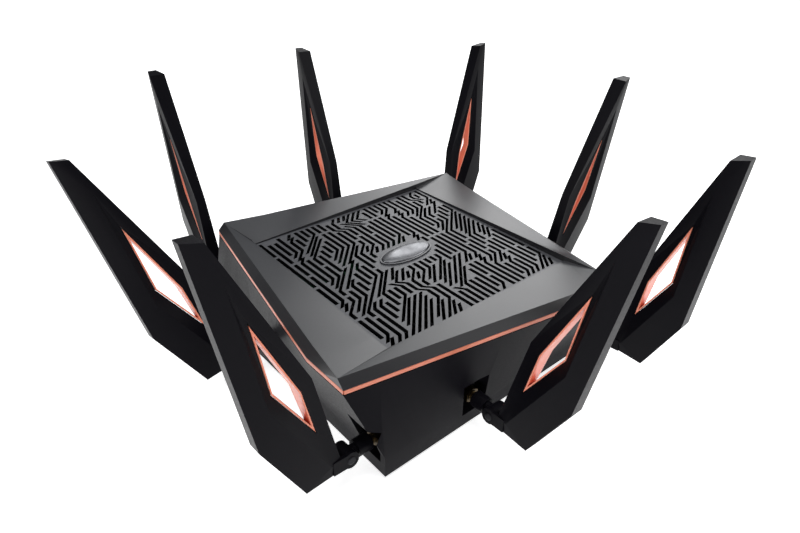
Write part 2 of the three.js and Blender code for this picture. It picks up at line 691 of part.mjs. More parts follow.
const knuckleRadius = 5.2;
const tongueHalf = 3.8 * thick;
const earInner = tongueHalf + GAP;
const earOuter = 6.5 * thick;
const pinRadius = PIN_DIAMETER / 2;
const hole = rod('y', pinRadius + GAP, -20, 20, [0, 0], 24);
const ears = [-1, 1].map((sign) => {
  const [y0, y1] = [sign * earInner, sign * earOuter].sort((a, b) => a - b);
  return rod('y', knuckleRadius, y0, y1, [0, 0]).add(box(0, 12, y0, y1, -4.2, 4.6));
});
const slotForTongue = rod('y', knuckleRadius + 2 * GAP, -earInner, earInner, [0, 0])
  .add(box(-8, 4.5, -earInner, earInner, -9, 9));
const blade = bladeSolid().add(ears[0]).add(ears[1]).subtract(slotForTongue).subtract(hole);
const trim = trimSolid();

const sleeveInner = -(hingeOut - pocketDepth) + 9.5;
const jackTip = sleeveInner + 6;
const knuckle = rod('y', knuckleRadius, -tongueHalf, tongueHalf, [0, 0])
  .add(rod('y', pinRadius, -earOuter, earOuter, [0, 0], 24))
  .add(rod('x', 3.7 * thick, -9, 0, [0, 0]))
  .add(rod('x', JACK_DIAMETER / 2 + 2.4, sleeveInner, -6.8, [0, 0]))
  .subtract(rod('x', JACK_DIAMETER / 2 + GAP, sleeveInner - 1, jackTip + GAP, [0, 0]));
const jack = rod('x', JACK_DIAMETER / 2, -(hingeOut - pocketDepth) - WALL - 1.5, jackTip, [0, 0])
  .add(rod('x', JACK_DIAMETER / 2 + 2.4, -(hingeOut - pocketDepth) + GAP, sleeveInner - 3, [0, 0], 6));

for (let side = 0; side < 4; side += 1) {
  antennaAlong.forEach((along, which) => {
    const number = side * 2 + which + 1;
    const lean = SWIVEL_LEAN[number - 1];
    const tilt = BLADE_TILT[number - 1];
    // Upright antenna turned to face -Y, leaned about its jack, then carried to its side.
    const place = (body, leaning, tilting) => turned(
      body.rotate([0, tilting, 0]).rotate([leaning, 0, 0]).rotate([0, 0, -90])
        .translate([along, -hingeOut, jackHeight]),
      side,
    );
    addPart(`antenna_jack_${number}`, place(jack, 0, 0), brass);
    addPart(`antenna_knuckle_${number}`, place(knuckle, -lean, 0), shellBlack);
    addPart(`antenna_blade_${number}`, place(blade, -lean, tilt), shellBlack);
    addPart(`antenna_trim_${number}`, place(trim, -lean, tilt), copper);
  });
}

export default group;
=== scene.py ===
"""Looks of a square wireless router with eight fin antennas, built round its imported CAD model."""

from __future__ import annotations

import json
import logging
import math
from dataclasses import dataclass, field
from enum import Enum
from typing import Iterable, Sequence

import bmesh
import bpy
from mathutils import Matrix, Vector

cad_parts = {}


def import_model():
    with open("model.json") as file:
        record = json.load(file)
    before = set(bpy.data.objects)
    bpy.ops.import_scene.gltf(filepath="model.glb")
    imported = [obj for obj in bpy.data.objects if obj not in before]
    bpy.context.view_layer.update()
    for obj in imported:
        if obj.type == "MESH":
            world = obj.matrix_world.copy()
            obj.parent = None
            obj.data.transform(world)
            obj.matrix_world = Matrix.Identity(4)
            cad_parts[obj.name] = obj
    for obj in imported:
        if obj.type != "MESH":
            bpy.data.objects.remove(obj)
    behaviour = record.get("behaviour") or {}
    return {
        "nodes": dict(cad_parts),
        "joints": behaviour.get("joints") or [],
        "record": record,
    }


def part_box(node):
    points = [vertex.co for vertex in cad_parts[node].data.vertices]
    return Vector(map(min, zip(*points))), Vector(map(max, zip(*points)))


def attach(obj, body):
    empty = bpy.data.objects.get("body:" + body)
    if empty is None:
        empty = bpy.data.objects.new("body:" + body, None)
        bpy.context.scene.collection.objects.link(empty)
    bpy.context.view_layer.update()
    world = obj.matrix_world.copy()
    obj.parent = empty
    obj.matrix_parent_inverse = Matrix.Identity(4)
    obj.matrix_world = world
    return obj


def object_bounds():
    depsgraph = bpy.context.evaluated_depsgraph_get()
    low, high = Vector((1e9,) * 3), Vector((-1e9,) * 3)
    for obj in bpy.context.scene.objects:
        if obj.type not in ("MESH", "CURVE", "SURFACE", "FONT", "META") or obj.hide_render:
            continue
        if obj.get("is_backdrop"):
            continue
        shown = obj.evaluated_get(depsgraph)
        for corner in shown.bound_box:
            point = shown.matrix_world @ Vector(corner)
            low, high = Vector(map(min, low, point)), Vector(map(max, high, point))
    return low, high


LOG = logging.getLogger("router")
MM = 0.001

Point = Sequence[float]
Colour = tuple[float, float, float, float]


# ---- Colours and nodes ------------------------------------------------------------------------


def linear(code: str) -> Colour:
    """Turn an sRGB hex colour into linear light.

    Args:
        code: Six hex digits, with or without a leading hash.

    Returns:
        Red, green, blue and an alpha of 1.
    """
    digits = code.lstrip("#")
    channels = [int(digits[i : i + 2], 16) / 255 for i in (0, 2, 4)]
    lit = [c / 12.92 if c <= 0.04045 else ((c + 0.055) / 1.055) ** 2.4 for c in channels]
    return (lit[0], lit[1], lit[2], 1.0)


def per_metre(size_mm: float) -> float:
    """Return the texture scale whose features are about this many millimetres across."""
    return 1.0 / (size_mm * MM)


def add_node(
    tree: bpy.types.NodeTree, kind: str, inputs: dict | None = None, **settings: object
) -> bpy.types.Node:
    """Add one node with its settings, its values and the links that feed it.

    Args:
        tree: The node tree that takes the node.
        kind: Blender's type name of the node.
        inputs: Socket name or index, to a plain value or to the output that feeds it.
        settings: Properties of the node itself.

    Returns:
        The new node.
    """
    node = tree.nodes.new(kind)
    for name, value in settings.items():
        setattr(node, name, value)
    for key, value in (inputs or {}).items():
        socket = node.inputs[key]
        if isinstance(value, bpy.types.NodeSocket):
            tree.links.new(value, socket)
        else:
            socket.default_value = value
    return node


def blank_material(name: str) -> tuple[bpy.types.Material, bpy.types.NodeTree]:
    """Start a material with an empty node tree.

    Args:
        name: The finish's name.

    Returns:
        The material and its tree.
    """
    material = bpy.data.materials.new(name)
    material.use_nodes = True
    material.node_tree.nodes.clear()
    return material, material.node_tree


def close_material(tree: bpy.types.NodeTree, shader: bpy.types.Node) -> None:
    """Send a shader to the material output.

    Args:
        tree: The material's tree.
        shader: The node whose first output is the surface.
    """
    add_node(tree, "ShaderNodeOutputMaterial", {"Surface": shader.outputs[0]})


# ---- Finishes ---------------------------------------------------------------------------------


@dataclass(frozen=True)
class MouldedPlastic:
    """Injection-moulded ABS or polycarbonate with a spark-eroded texture.

    The eroded mould leaves a fine orange-peel grain that spreads the highlight, and slow waves in
    the shade where the melt cooled unevenly.
    """

    name: str
    shade: str
    light_shade: str
    roughness: float = 0.42
    specular: float = 0.4
    grain_mm: float = 1.3
    grain_depth_mm: float = 0.02
    cloud_mm: float = 45.0

    def material(self) -> bpy.types.Material:
        """Build the node material and return it."""
        material, tree = blank_material(self.name)
        place = add_node(tree, "ShaderNodeTexCoord").outputs["Object"]
        cloud = add_node(
            tree,
            "ShaderNodeTexNoise",
            {"Vector": place, "Scale": per_metre(self.cloud_mm), "Detail": 3.0},
        )
        colour = add_node(
            tree,
            "ShaderNodeMix",
            {0: cloud.outputs["Fac"], 6: linear(self.shade), 7: linear(self.light_shade)},
            data_type="RGBA",
        )
        # The real grain is about 0.2 mm: it is drawn coarser so that it still shows.
        grain = add_node(
            tree,
            "ShaderNodeTexNoise",
            {"Vector": place, "Scale": per_metre(self.grain_mm), "Detail": 4.0, "Roughness": 0.6},
        )
        polish = add_node(
            tree,
            "ShaderNodeMapRange",
            {
                "Value": grain.outputs["Fac"],
                "From Min": 0.3,
                "From Max": 0.7,
                "To Min": self.roughness - 0.05,
                "To Max": self.roughness + 0.06,
            },
        )
        relief = add_node(
            tree,
            "ShaderNodeBump",
            {"Height": grain.outputs["Fac"], "Distance": self.grain_depth_mm * MM, "Strength": 0.6},
        )
        shader = add_node(
            tree,
            "ShaderNodeBsdfPrincipled",
            {
                "Base Color": colour.outputs[2],
                "Roughness": polish.outputs["Result"],
                "IOR": 1.5,
                "Specular IOR Level": self.specular,
                "Normal": relief.outputs["Normal"],
            },
        )
        close_material(tree, shader)
        return material


@dataclass(frozen=True)
class PaintedPanel:
    """Satin lacquer on ABS on the faces that look up; steep faces get a near-black colour that is
    painted shade.

    Fine flakes in the lacquer give a soft grey sheen that follows the light.
    """

    name: str
    paint: str
    paint_light: str
    steep_shade: str
    metallic: float = 0.55
    roughness: float = 0.4
    specular: float = 0.4
    flake_mm: float = 0.9
    cloud_mm: float = 60.0
    flat_from: float = 0.93
    flat_to: float = 0.97

    def material(self) -> bpy.types.Material:
        """Build the node material and return it."""
        material, tree = blank_material(self.name)
        place = add_node(tree, "ShaderNodeTexCoord").outputs["Object"]
        # Faces that slope away from straight up are painted near black: painted shade on the
        # bevelled band, the recess walls and the slot walls.
        facing = add_node(
            tree,
            "ShaderNodeSeparateXYZ",
            {"Vector": add_node(tree, "ShaderNodeNewGeometry").outputs["True Normal"]},
        )
        up_facing_mask = add_node(
            tree,
            "ShaderNodeMapRange",
            {"Value": facing.outputs["Z"], "From Min": self.flat_from, "From Max": self.flat_to},
        )
        cloud = add_node(
            tree,
            "ShaderNodeTexNoise",
            {"Vector": place, "Scale": per_metre(self.cloud_mm), "Detail": 2.0},
        )
        tone = add_node(
            tree,
            "ShaderNodeMix",
            {0: cloud.outputs["Fac"], 6: linear(self.paint), 7: linear(self.paint_light)},
            data_type="RGBA",
        )
        # Flakes are some 0.03 mm across: they are drawn as 0.9 mm grains that just show.
        flake = add_node(
            tree,
            "ShaderNodeTexVoronoi",
            {"Vector": place, "Scale": per_metre(self.flake_mm)},
        )
        spark = add_node(
            tree,
            "ShaderNodeMix",
            {0: flake.outputs["Color"], 6: tone.outputs[2], 7: linear(self.paint_light)},
            data_type="RGBA",
        )
        colour = add_node(
            tree,
            "ShaderNodeMix",
            {0: up_facing_mask.outputs["Result"], 6: linear(self.steep_shade), 7: spark.outputs[2]},
            data_type="RGBA",
        )
        metal = add_node(
            tree,
            "ShaderNodeMath",
            {0: up_facing_mask.outputs["Result"], 1: self.metallic},
            operation="MULTIPLY",
        )
        relief = add_node(
            tree,
            "ShaderNodeBump",
            {"Height": flake.outputs["Distance"], "Distance": 0.01 * MM, "Strength": 0.22},
        )
        polish = add_node(
            tree,
            "ShaderNodeMapRange",
            {
                "Value": cloud.outputs["Fac"],
                "To Min": self.roughness - 0.03,
                "To Max": self.roughness + 0.05,
            },
        )
        shader = add_node(
            tree,
            "ShaderNodeBsdfPrincipled",
            {
                "Base Color": colour.outputs[2],
                "Metallic": metal.outputs[0],
                "Roughness": polish.outputs["Result"],
                "IOR": 1.5,
                "Specular IOR Level": self.specular,
                "Normal": relief.outputs["Normal"],
            },
        )
        close_material(tree, shader)
        return material


@dataclass(frozen=True)
class MetalFinish:
    """A bare, plated or metallised surface, with fine lines or a fine grain from how it was made.

    Lines are stretched along one axis where the part was brushed or drawn, and are left round for
    a cast, plated or sprayed surface.
    """

    name: str
    shade: str
    dull_shade: str
    roughness: float
    metallic: float = 1.0
    line_mm: float = 0.6
    stretch: tuple[float, float, float] = (1.0, 1.0, 1.0)
    depth_mm: float = 0.01
    coat: float = 0.0

    def material(self) -> bpy.types.Material:
        """Build the node material and return it."""
        material, tree = blank_material(self.name)
        place = add_node(tree, "ShaderNodeTexCoord").outputs["Object"]
        drawn = add_node(
            tree, "ShaderNodeMapping", {"Vector": place, "Scale": Vector(self.stretch)}
        )
        lines = add_node(
            tree,
            "ShaderNodeTexNoise",
            {
                "Vector": drawn.outputs["Vector"],
                "Scale": per_metre(self.line_mm),
                "Detail": 4.0,
                "Roughness": 0.6,
            },
        )
        colour = add_node(
            tree,
            "ShaderNodeMix",
            {0: lines.outputs["Fac"], 6: linear(self.shade), 7: linear(self.dull_shade)},
            data_type="RGBA",
        )
        polish = add_node(
            tree,
            "ShaderNodeMapRange",
            {
                "Value": lines.outputs["Fac"],
                "From Min": 0.3,
                "From Max": 0.7,
                "To Min": max(0.03, self.roughness - 0.05),
                "To Max": self.roughness + 0.06,
            },
        )
        relief = add_node(
            tree,
            "ShaderNodeBump",
            {"Height": lines.outputs["Fac"], "Distance": self.depth_mm * MM, "Strength": 0.5},
        )
        shader = add_node(
            tree,
            "ShaderNodeBsdfPrincipled",
            {
                "Base Color": colour.outputs[2],
                "Metallic": self.metallic,
                "Roughness": polish.outputs["Result"],
                "Coat Weight": self.coat,
                "Coat Roughness": 0.12,
                "Normal": relief.outputs["Normal"],
            },
        )
        close_material(tree, shader)
        return material


@dataclass(frozen=True)
class FrostedDiffuser:
    """Frosted polycarbonate over lamps: a soft body colour with a cloudy, faintly lit depth."""

    name: str
    shade: str
    core: str
    glow: float = 0.0

    def material(self) -> bpy.types.Material:
        """Build the node material and return it."""
        material, tree = blank_material(self.name)
        place = add_node(tree, "ShaderNodeTexCoord").outputs["Object"]
        frost = add_node(
            tree, "ShaderNodeTexNoise", {"Vector": place, "Scale": per_metre(1.5), "Detail": 5.0}
        )
        colour = add_node(
            tree,
            "ShaderNodeMix",
            {0: frost.outputs["Fac"], 6: linear(self.shade), 7: linear(self.core)},
            data_type="RGBA",
        )
        relief = add_node(
            tree,
            "ShaderNodeBump",
            {"Height": frost.outputs["Fac"], "Distance": 0.02 * MM, "Strength": 0.5},
        )
        shader = add_node(
            tree,
            "ShaderNodeBsdfPrincipled",
            {
                "Base Color": colour.outputs[2],
                "Roughness": 0.35,
                "IOR": 1.58,
                "Emission Color": colour.outputs[2],
                "Emission Strength": self.glow,
                "Normal": relief.outputs["Normal"],
            },
        )
        close_material(tree, shader)
        return material


@dataclass(frozen=True)
class CircuitBoard:
    """Glass-epoxy board under solder mask: deep green with a faint weave and slow tone changes."""

    name: str
    shade: str
    track_shade: str
    weave_mm: float = 1.4

    def material(self) -> bpy.types.Material:
        """Build the node material and return it."""
        material, tree = blank_material(self.name)
        place = add_node(tree, "ShaderNodeTexCoord").outputs["Object"]
        tracks = add_node(
            tree,
            "ShaderNodeTexBrick",
            {
                "Vector": place,
                "Scale": per_metre(12.0),
                "Color1": linear(self.shade),
                "Color2": linear(self.shade),
                "Mortar": linear(self.track_shade),
                "Mortar Size": 0.012,
            },
        )
        weave = add_node(
            tree, "ShaderNodeTexNoise", {"Vector": place, "Scale": per_metre(self.weave_mm)}
        )
        relief = add_node(
            tree,
            "ShaderNodeBump",
            {"Height": weave.outputs["Fac"], "Distance": 0.02 * MM, "Strength": 0.4},
        )
        shader = add_node(
            tree,
            "ShaderNodeBsdfPrincipled",
            {
                "Base Color": tracks.outputs["Color"],
                "Roughness": 0.35,
                "IOR": 1.5,
                "Normal": relief.outputs["Normal"],
            },
        )
        close_material(tree, shader)
        return material


class Finish(Enum):
    """Every finish on the router."""

    # Spark-eroded black ABS: dark, even, with a soft wide highlight.
    SHELL_ABS = MouldedPlastic(
        "moulded_abs_black", "#0e0d11", "#151419", roughness=0.38, specular=0.06
    )
    # The fins are the same ABS from a finer mould, so their edges catch a little more light. Their
    # colour is a touch darker than the shell's: painted shade on the fins.
    FIN_ABS = MouldedPlastic(
        "moulded_abs_fin", "#0b0a0e", "#111015", roughness=0.36, specular=0.06
    )
    # Grey lacquer on the flat panels of the top cover: dark, with a clear highlight. Its steep
    # faces are painted near black as painted shade.
    PANEL_PAINT = PaintedPanel(
        "lacquered_abs_grey",
        "#2b2c2f",
        "#343538",
        "#121115",
        metallic=0.0,
        roughness=0.38,
        specular=0.85,
    )
    # The grille is sprayed with the same lacquer, a shade brighter. Its slot walls and other steep
    # faces are painted almost black as painted shade.
    GRILLE_PAINT = PaintedPanel(
        "lacquered_grille_grey",
        "#434448",
        "#4d4e52",
        "#0a0a0c",
        metallic=0.1,
        roughness=0.4,
        specular=0.6,
    )
    # Copper-coloured vacuum-metallised trim: warm, bright and slightly clouded.
    COPPER = MetalFinish(
        "metallised_copper", "#ffa184", "#fb8a68", 0.4, metallic=0.1, line_mm=3.0, coat=0.25
    )
    # Satin chrome plate on the medallion.
    CHROME = MetalFinish("plated_chrome", "#86878a", "#6c6d70", 0.36, line_mm=8.0)
    # Turned brass of the antenna jacks and their thread, coloured dark: painted shade of the recess
    # the jacks sit in.
    BRASS = MetalFinish("turned_brass", "#5b4c33", "#403524", 0.34, stretch=(1, 1, 4))
    # Stamped tin-plated steel round the sockets.
    TINPLATE = MetalFinish("stamped_tinplate", "#a9abae", "#8d8f93", 0.32, stretch=(1, 6, 1))
    # Aluminium of the heat sink, coloured near black so that the grille's slots read black: painted
    # shade inside the body. Lines run along the fins.
    ALUMINIUM = MetalFinish("anodised_aluminium", "#1d1d20", "#151517", 0.5, stretch=(1, 8, 1))
    # Gold flash on the contacts.
    GOLD = MetalFinish("gold_plated_contact", "#e5bf62", "#c99e3f", 0.22)
    # Zinc-plated, blackened screws.
    SCREW = MetalFinish("blackened_steel", "#2b2b2e", "#1e1e20", 0.4, line_mm=0.8)
    # Frosted ring round the medallion, unlit.
    DIFFUSER = FrostedDiffuser("frosted_polycarbonate", "#3a3b3f", "#4a4b50")
    # Status lamps behind a smoked window.
    LAMP = FrostedDiffuser("lit_polycarbonate", "#dfe9f2", "#f6fbff", glow=0.6)
    # Blue tongue of the USB sockets.
    USB_BLUE = MouldedPlastic("moulded_nylon_blue", "#1c4f9c", "#2459a8", roughness=0.45)
    # Solder mask of the boards.
    BOARD = CircuitBoard("solder_mask_green", "#123a26", "#1d5436")
    # Nitrile rubber feet: matt, a little dusty.
    RUBBER = MouldedPlastic(
        "moulded_nitrile_rubber", "#101010", "#1a1a1a", roughness=0.75, specular=0.25
    )
    # Soft grey thermal pad.
    PAD = MouldedPlastic("silicone_pad_grey", "#7d8188", "#8b8f95", roughness=0.7, specular=0.25)

    def coat(self) -> bpy.types.Material:
        """Return this finish's material, built once."""
        found = bpy.data.materials.get(self.value.name)
        return found or self.value.material()


# ---- Mesh helpers -----------------------------------------------------------------------------


def new_piece(
    name: str, points: Iterable[Point], faces: Iterable[Sequence[int]]
) -> bpy.types.Object:
    """Make a mesh object from corners and faces, in metres.

    Args:
        name: The piece's name.
        points: Corners.
        faces: Corner numbers of each face.

    Returns:
        The object, linked to the scene.
    """
    mesh = bpy.data.meshes.new(name)
    mesh.from_pydata([tuple(p) for p in points], [], [tuple(f) for f in faces])
    mesh.update()
    piece = bpy.data.objects.new(name, mesh)
    bpy.context.scene.collection.objects.link(piece)
    return piece


def tidy_normals(piece: bpy.types.Object) -> None:
    """Weld coincident corners and turn every face outwards.

    Args:
        piece: A mesh object.
    """
    work = bmesh.new()
    work.from_mesh(piece.data)
    bmesh.ops.remove_doubles(work, verts=work.verts, dist=1e-6)
    bmesh.ops.recalc_face_normals(work, faces=work.faces)
    work.to_mesh(piece.data)
    work.free()


def soften(
    piece: bpy.types.Object, width_mm: float, segments: int = 2, angle: float = 25.0
) -> None:
    """Round the sharp edges of a piece and shade it smooth between them.

    Args:
        piece: A mesh object.
        width_mm: Width of the rounding.
        segments: Faces across the rounding.
        angle: Edges sharper than this many degrees are rounded.
    """
    bevel = piece.modifiers.new("rounding", "BEVEL")
    bevel.width = width_mm * MM
    bevel.segments = segments
    bevel.limit_method = "ANGLE"
    bevel.angle_limit = math.radians(angle)
    bevel.harden_normals = True
    bevel.use_clamp_overlap = True
    flatten = piece.modifiers.new("flat_shading", "WEIGHTED_NORMAL")
    flatten.mode = "FACE_AREA"
    flatten.weight = 100
    piece.data.shade_smooth()


def finish_piece(piece: bpy.types.Object, body: str, coat: Finish) -> bpy.types.Object:
    """Give a piece its material and the body it moves with.

    Args:
        piece: The piece, in place.
        body: The CAD body it rides on.
        coat: Its finish.

    Returns:
        The same piece.
    """
    piece.data.materials.clear()
    piece.data.materials.append(coat.coat())
    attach(piece, body)
    LOG.info("piece %s on %s", piece.name, body)
    return piece


def turned_rings(
    name: str, rings: Sequence[tuple[float, float]], centre: Point, axis: Vector, sides: int = 40
) -> bpy.types.Object:
    """Turn a profile round an axis and cap both ends.

    Args:
        name: The piece's name.
        rings: Distance along the axis and radius of each ring, in mm.
        centre: Where distance 0 lies, in metres.
        axis: Direction of the axis.
        sides: Corners in each ring.

    Returns:
        The closed piece.
    """
    turn = axis.to_track_quat("Z", "Y")
    points, faces = [], []
    for along, radius in rings:
        for i in range(sides):
            angle = 2 * math.pi * i / sides
            local = Vector((radius * math.cos(angle), radius * math.sin(angle), along)) * MM
            points.append(turn @ local + Vector(centre))
    for ring in range(len(rings) - 1):
        for i in range(sides):
            j = (i + 1) % sides
            low, high = ring * sides, (ring + 1) * sides
            faces.append((low + i, low + j, high + j, high + i))
    faces.append(tuple(reversed(range(sides))))
    faces.append(tuple(range((len(rings) - 1) * sides, len(rings) * sides)))
    return new_piece(name, points, faces)


def joined(name: str, pieces: Sequence[bpy.types.Object]) -> bpy.types.Object:
    """Join several meshes into one object.

    Args:
        name: The joined piece's name.
        pieces: Mesh objects in place.

    Returns:
        One object that holds all of their faces.
    """
    work = bmesh.new()
    for piece in pieces:
        start = len(work.verts)
        work.from_mesh(piece.data)
        work.verts.ensure_lookup_table()
        bmesh.ops.transform(work, matrix=piece.matrix_world, verts=work.verts[start:])
    mesh = bpy.data.meshes.new(name)
    work.to_mesh(mesh)
    work.free()
    for piece in pieces:
        bpy.data.objects.remove(piece)
    whole = bpy.data.objects.new(name, mesh)
    bpy.context.scene.collection.objects.link(whole)
    return whole


def block(name: str, low: Point, high: Point) -> bpy.types.Object:
    """Make a box between two corners, in metres.

    Args:
        name: The piece's name.
        low: Lowest corner.
        high: Highest corner.

    Returns:
        The box, ready to be rounded or joined.
    """
    spans = list(zip(low, high))
    points = [(x, y, z) for x in spans[0] for y in spans[1] for z in spans[2]]
    faces = [(0, 1, 3, 2), (4, 6, 7, 5), (0, 4, 5, 1), (2, 3, 7, 6), (0, 2, 6, 4), (1, 5, 7, 3)]
    return new_piece(name, points, faces)


# ---- Sub-assemblies ---------------------------------------------------------------------------


@dataclass
class CadDresser:
    """Carries over CAD nodes: cleans their flat faces, rounds their edges and paints them."""

    nodes: dict[str, bpy.types.Object]
    weld_mm: float = 0.004
    flat_angle: float = 0.6

    def dress(self, name: str, coat: Finish, round_mm: float, segments: int = 2) -> None:
        """Finish one CAD node.

        Args:
            name: The node's name.
            coat: Its finish.
            round_mm: Width of its rounded edges, or 0 for none.
            segments: Faces across each rounding.
        """
        node = self.nodes[name]
        weld = node.modifiers.new("weld", "WELD")
        weld.merge_threshold = self.weld_mm * MM
        merge = node.modifiers.new("flat_faces", "DECIMATE")
        merge.decimate_type = "DISSOLVE"
        merge.angle_limit = math.radians(self.flat_angle)
        if round_mm:
            soften(node, round_mm, segments)
        node.data.materials.clear()
        node.data.materials.append(coat.coat())
        LOG.info("node %s in %s", name, coat.name)


@dataclass
class Body:
    """Lower housing, base cover, feet and what stands inside the body."""

    dresser: CadDresser
    shell_round: float = 0.7
    small_round: float = 0.25
    screw_inset: float = 24.0
    screw_radius: float = 3.0
    slot_half: tuple[float, float] = (2.1, 0.5)

    def build(self) -> None:
        """Dress the body and add its screws."""
        dress = self.dresser.dress
        dress("lower_housing", Finish.SHELL_ABS, self.shell_round)
        dress("base_cover", Finish.SHELL_ABS, self.small_round)
        for number in range(1, 5):
            dress(f"rubber_foot_{number}", Finish.RUBBER, self.small_round)
        dress("main_board", Finish.BOARD, 0.0)
        dress("button_board", Finish.BOARD, 0.0)
        dress("heat_sink", Finish.ALUMINIUM, 0.0)
        dress("rf_shield", Finish.TINPLATE, self.small_round)
        dress("thermal_pad", Finish.PAD, self.small_round)
        self.screws()

    def screws(self) -> None:
        """Add four screws with a raised cross under the base cover."""
        low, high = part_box("base_cover")
        inset = self.screw_inset * MM
        for number, (sx, sy) in enumerate(((0, 0), (1, 0), (1, 1), (0, 1)), start=1):
            x = high.x - inset if sx else low.x + inset
            y = high.y - inset if sy else low.y + inset
            radius = self.screw_radius
            rings = [(-0.2, radius), (0.35, radius), (0.62, radius * 0.72)]
            head = turned_rings(f"head_{number}", rings, (x, y, low.z), Vector((0, 0, -1)))
            bars = []
            for wide, deep in (self.slot_half, self.slot_half[::-1]):
                start = (x - wide * MM, y - deep * MM, low.z - 0.72 * MM)
                end = (x + wide * MM, y + deep * MM, low.z - 0.5 * MM)
                bars.append(block("bar", start, end))
            screw = joined(f"base_screw_{number}", [head, *bars])
            soften(screw, 0.08, 1)
            finish_piece(screw, "housing", Finish.SCREW)


@dataclass
class TopCover:
    """Raised panels, vent grille, medallion, light guide and accent strips."""

    dresser: CadDresser
    cover_round: float = 0.5
    strip_round: float = 0.35

    def build(self) -> None:
        """Dress the cover and what sits in it."""
        dress = self.dresser.dress
        dress("top_cover", Finish.PANEL_PAINT, self.cover_round, 3)
        dress("vent_grille", Finish.GRILLE_PAINT, 0.0)
        dress("grille_medallion", Finish.CHROME, 0.2)
        dress("medallion_light_guide", Finish.DIFFUSER, 0.15)
        dress("accent_strip_front", Finish.COPPER, self.strip_round)
        dress("accent_strip_left", Finish.COPPER, self.strip_round)


@dataclass
class Sockets:
    """Network sockets, USB sockets and the power inlet, with their contacts."""

    dresser: CadDresser
    openings: dict[str, tuple[Vector, Vector]]
    contact_count: int = 8
    contact_pitch: float = 1.02
    wire_half: float = 0.22
    wire_thick: float = 0.35
    tongue_thick: float = 1.6
    tongue_long: float = 8.5
    usb_contact_count: int = 4

    def build(self) -> None:
        """Dress the socket blocks and add contacts and tongues."""
        dress = self.dresser.dress
        for name in ("lan_ports", "wan_port", "fast_lan_port", "usb_ports"):
            dress(name, Finish.TINPLATE, 0.25)
        dress("dc_jack", Finish.SHELL_ABS, 0.2)
        for name in sorted(self.openings):
            if name.startswith(("lan", "wan", "fast")):
                self.network_contacts(name)
            elif name.startswith("usb"):
                self.usb_tongue(name)

    def network_contacts(self, name: str) -> None:
        """Add the row of sprung wires in one network socket.

        Args:
            name: The opening's name.
        """
        low, high = self.openings[name]
        middle = (low.x + high.x) / 2
        back = low.y + 1.0 * MM
        wires = []
        for i in range(self.contact_count):
            x = middle + (i - (self.contact_count - 1) / 2) * self.contact_pitch * MM
            half = self.wire_half * MM
            path = [
                (back, high.z - 0.1 * MM),
                (back + 8 * MM, high.z - 0.4 * MM),
                (back + 2 * MM, high.z - 4 * MM),
            ]
            points, faces = [], []
            for y, z in path:
                for dx in (-half, half):
                    points.append((x + dx, y, z))
                    points.append((x + dx, y, z - self.wire_thick * MM))
            for k in range(len(path) - 1):
                a, b = 4 * k, 4 * (k + 1)
                faces += [(a, a + 2, b + 2, b), (a + 1, b + 1, b + 3, a + 3)]
                faces += [(a, b, b + 1, a + 1), (a + 2, a + 3, b + 3, b + 2)]
            end = 4 * (len(path) - 1)
            faces += [(0, 1, 3, 2), (end, end + 2, end + 3, end + 1)]
            wires.append(new_piece(f"wire_{i}", points, faces))
        contacts = joined(f"{name}_contacts", wires)
        tidy_normals(contacts)
        finish_piece(contacts, "housing", Finish.GOLD)

    def usb_tongue(self, name: str) -> None:
        """Add the plastic tongue and its four contacts in one USB socket.

        Args:
            name: The opening's name.
        """
        low, high = self.openings[name]
        top = high.z - 0.6 * MM
        start = (low.x + 0.4 * MM, low.y, top - self.tongue_thick * MM)
        end = (high.x - 0.4 * MM, low.y + self.tongue_long * MM, top)
        tongue = block(f"{name}_tongue", start, end)
        soften(tongue, 0.25, 2)
        finish_piece(tongue, "housing", Finish.USB_BLUE)
        width = (high.x - low.x) / (self.usb_contact_count + 1)
        bars = []
        for i in range(self.usb_contact_count):
            x = low.x + width * (i + 1)
            begin = (x - 0.5 * MM, low.y + 0.5 * MM, top - 1.75 * MM)
            finish = (x + 0.5 * MM, low.y + 7.5 * MM, top - 1.55 * MM)
            bars.append(block(f"bar_{i}", begin, finish))
        contacts = joined(f"{name}_contacts", bars)
        finish_piece(contacts, "housing", Finish.GOLD)


@dataclass
class Controls:
    """Buttons and the status light bar."""

    dresser: CadDresser
    lamp_count: int = 6

    def build(self) -> None:
        """Dress the buttons and light bar, and add the lamps behind it."""
        for name in ("power_button", "reset_button", "wps_button", "wifi_button", "light_button"):
            self.dresser.dress(name, Finish.SHELL_ABS, 0.25)
        self.dresser.dress("status_light_bar", Finish.DIFFUSER, 0.2)
        low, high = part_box("status_light_bar")
        step = (high.y - low.y) / self.lamp_count
        middle = (low.z + high.z) / 2
        lamps = []
        for i in range(self.lamp_count):
            y = low.y + step * (i + 0.5)
            rings = [(-0.4, 0.7), (0.02, 0.7), (0.1, 0.5)]
            place = (high.x, y, middle)
            lamps.append(turned_rings(f"lamp_{i}", rings, place, Vector((1, 0, 0)), 16))
        lamps_piece = joined("status_lamps", lamps)
        finish_piece(lamps_piece, "housing", Finish.LAMP)


